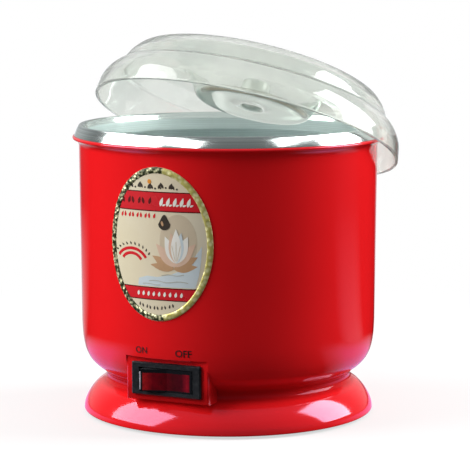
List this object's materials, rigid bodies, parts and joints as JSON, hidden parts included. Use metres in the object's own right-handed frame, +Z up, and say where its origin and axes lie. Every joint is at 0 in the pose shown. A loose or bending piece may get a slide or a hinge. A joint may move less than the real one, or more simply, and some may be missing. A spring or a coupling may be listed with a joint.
{
  "type": "wax warmer pot",
  "caption": "Round electric wax warmer: red moulded shell with flared base, hung aluminium bowl, rocker switch, oval front label and a clear stepped lid leaning open on the rim.",
  "frame": {"origin": "centre of the resting plane under the feet, on the pot's axis", "axes": "+Z up along the pot's axis; front (switch and label) faces -Y; +X to the right seen from the front"},
  "size_m": [0.1785, 0.2258, 0.1659],
  "materials": {
    "aluminium": "spun, satin bright",
    "black_plastic": "satin black",
    "brass": "bright",
    "ceramic": "unglazed",
    "clear_plastic": "clear moulded plastic",
    "label_print": "printed oval sticker with gold border",
    "lamp_glass": "neon tube",
    "mica": "mica sheet",
    "red_plastic": "glossy moulded red",
    "rocker_red": "dark translucent red",
    "rubber": "matte",
    "steel": "zinc plated",
    "wire_black": "insulation",
    "wire_green": "insulation",
    "wire_red": "insulation"
  },
  "bodies": {
    "pot": {"outer_body": "red_plastic", "wax_bowl": "aluminium", "front_label": "label_print", "base_plate": "black_plastic", "base_screws": "steel", "rubber_feet": "rubber", "heater_stud": "steel", "upper_mica": "mica", "heating_element": "steel", "lower_mica": "mica", "clamp_plate": "steel", "heater_nuts": "steel", "heat_shield": "aluminium", "support_bridge": "steel", "bridge_screws": "steel", "stud_washer": "steel", "thermostat": "ceramic", "thermostat_bracket": "steel", "thermostat_studs": "steel", "thermostat_nuts": "steel", "thermal_fuse": "ceramic", "fuse_clip": "steel", "switch_case": "black_plastic", "switch_terminals": "brass", "switch_lamp": "lamp_glass", "cord_grommet": "rubber", "power_cord": "wire_black", "cord_tie": "black_plastic", "plug_body": "black_plastic", "plug_pins": "brass", "earth_tag": "brass", "live_wire": "wire_red", "neutral_wire": "wire_black", "earth_wire": "wire_green", "switched_wire": "wire_red", "thermostat_wire": "wire_red", "element_wire": "wire_red"},
    "lid": {"lid": "clear_plastic"},
    "rocker": {"switch_rocker": "rocker_red"},
    "contact_lever": {"switch_contact_lever": "brass"}
  },
  "joints": [
    {"name": "lid_tilt", "type": "hinge", "parent": "pot", "child": "lid", "pos_m": [0.00119, 0.00556, 0.08957], "axis": [0.9778, -0.2096, 0], "range_deg": [0, 22.2]},
    {"name": "rocker_tilt", "type": "hinge", "parent": "pot", "child": "rocker", "pos_m": [0, -0.05717, 0.0233], "axis": [0, 0, 1], "range_deg": [-18, 0]},
    {"name": "lever_tilt", "type": "hinge", "parent": "pot", "child": "contact_lever", "pos_m": [0, -0.0494, 0.0233], "axis": [0, 0, 1], "range_deg": [0, 9]}
  ],
  "couplings": [
    {"joint": "lever_tilt", "follows": "rocker_tilt", "ratio": -0.5}
  ]
}
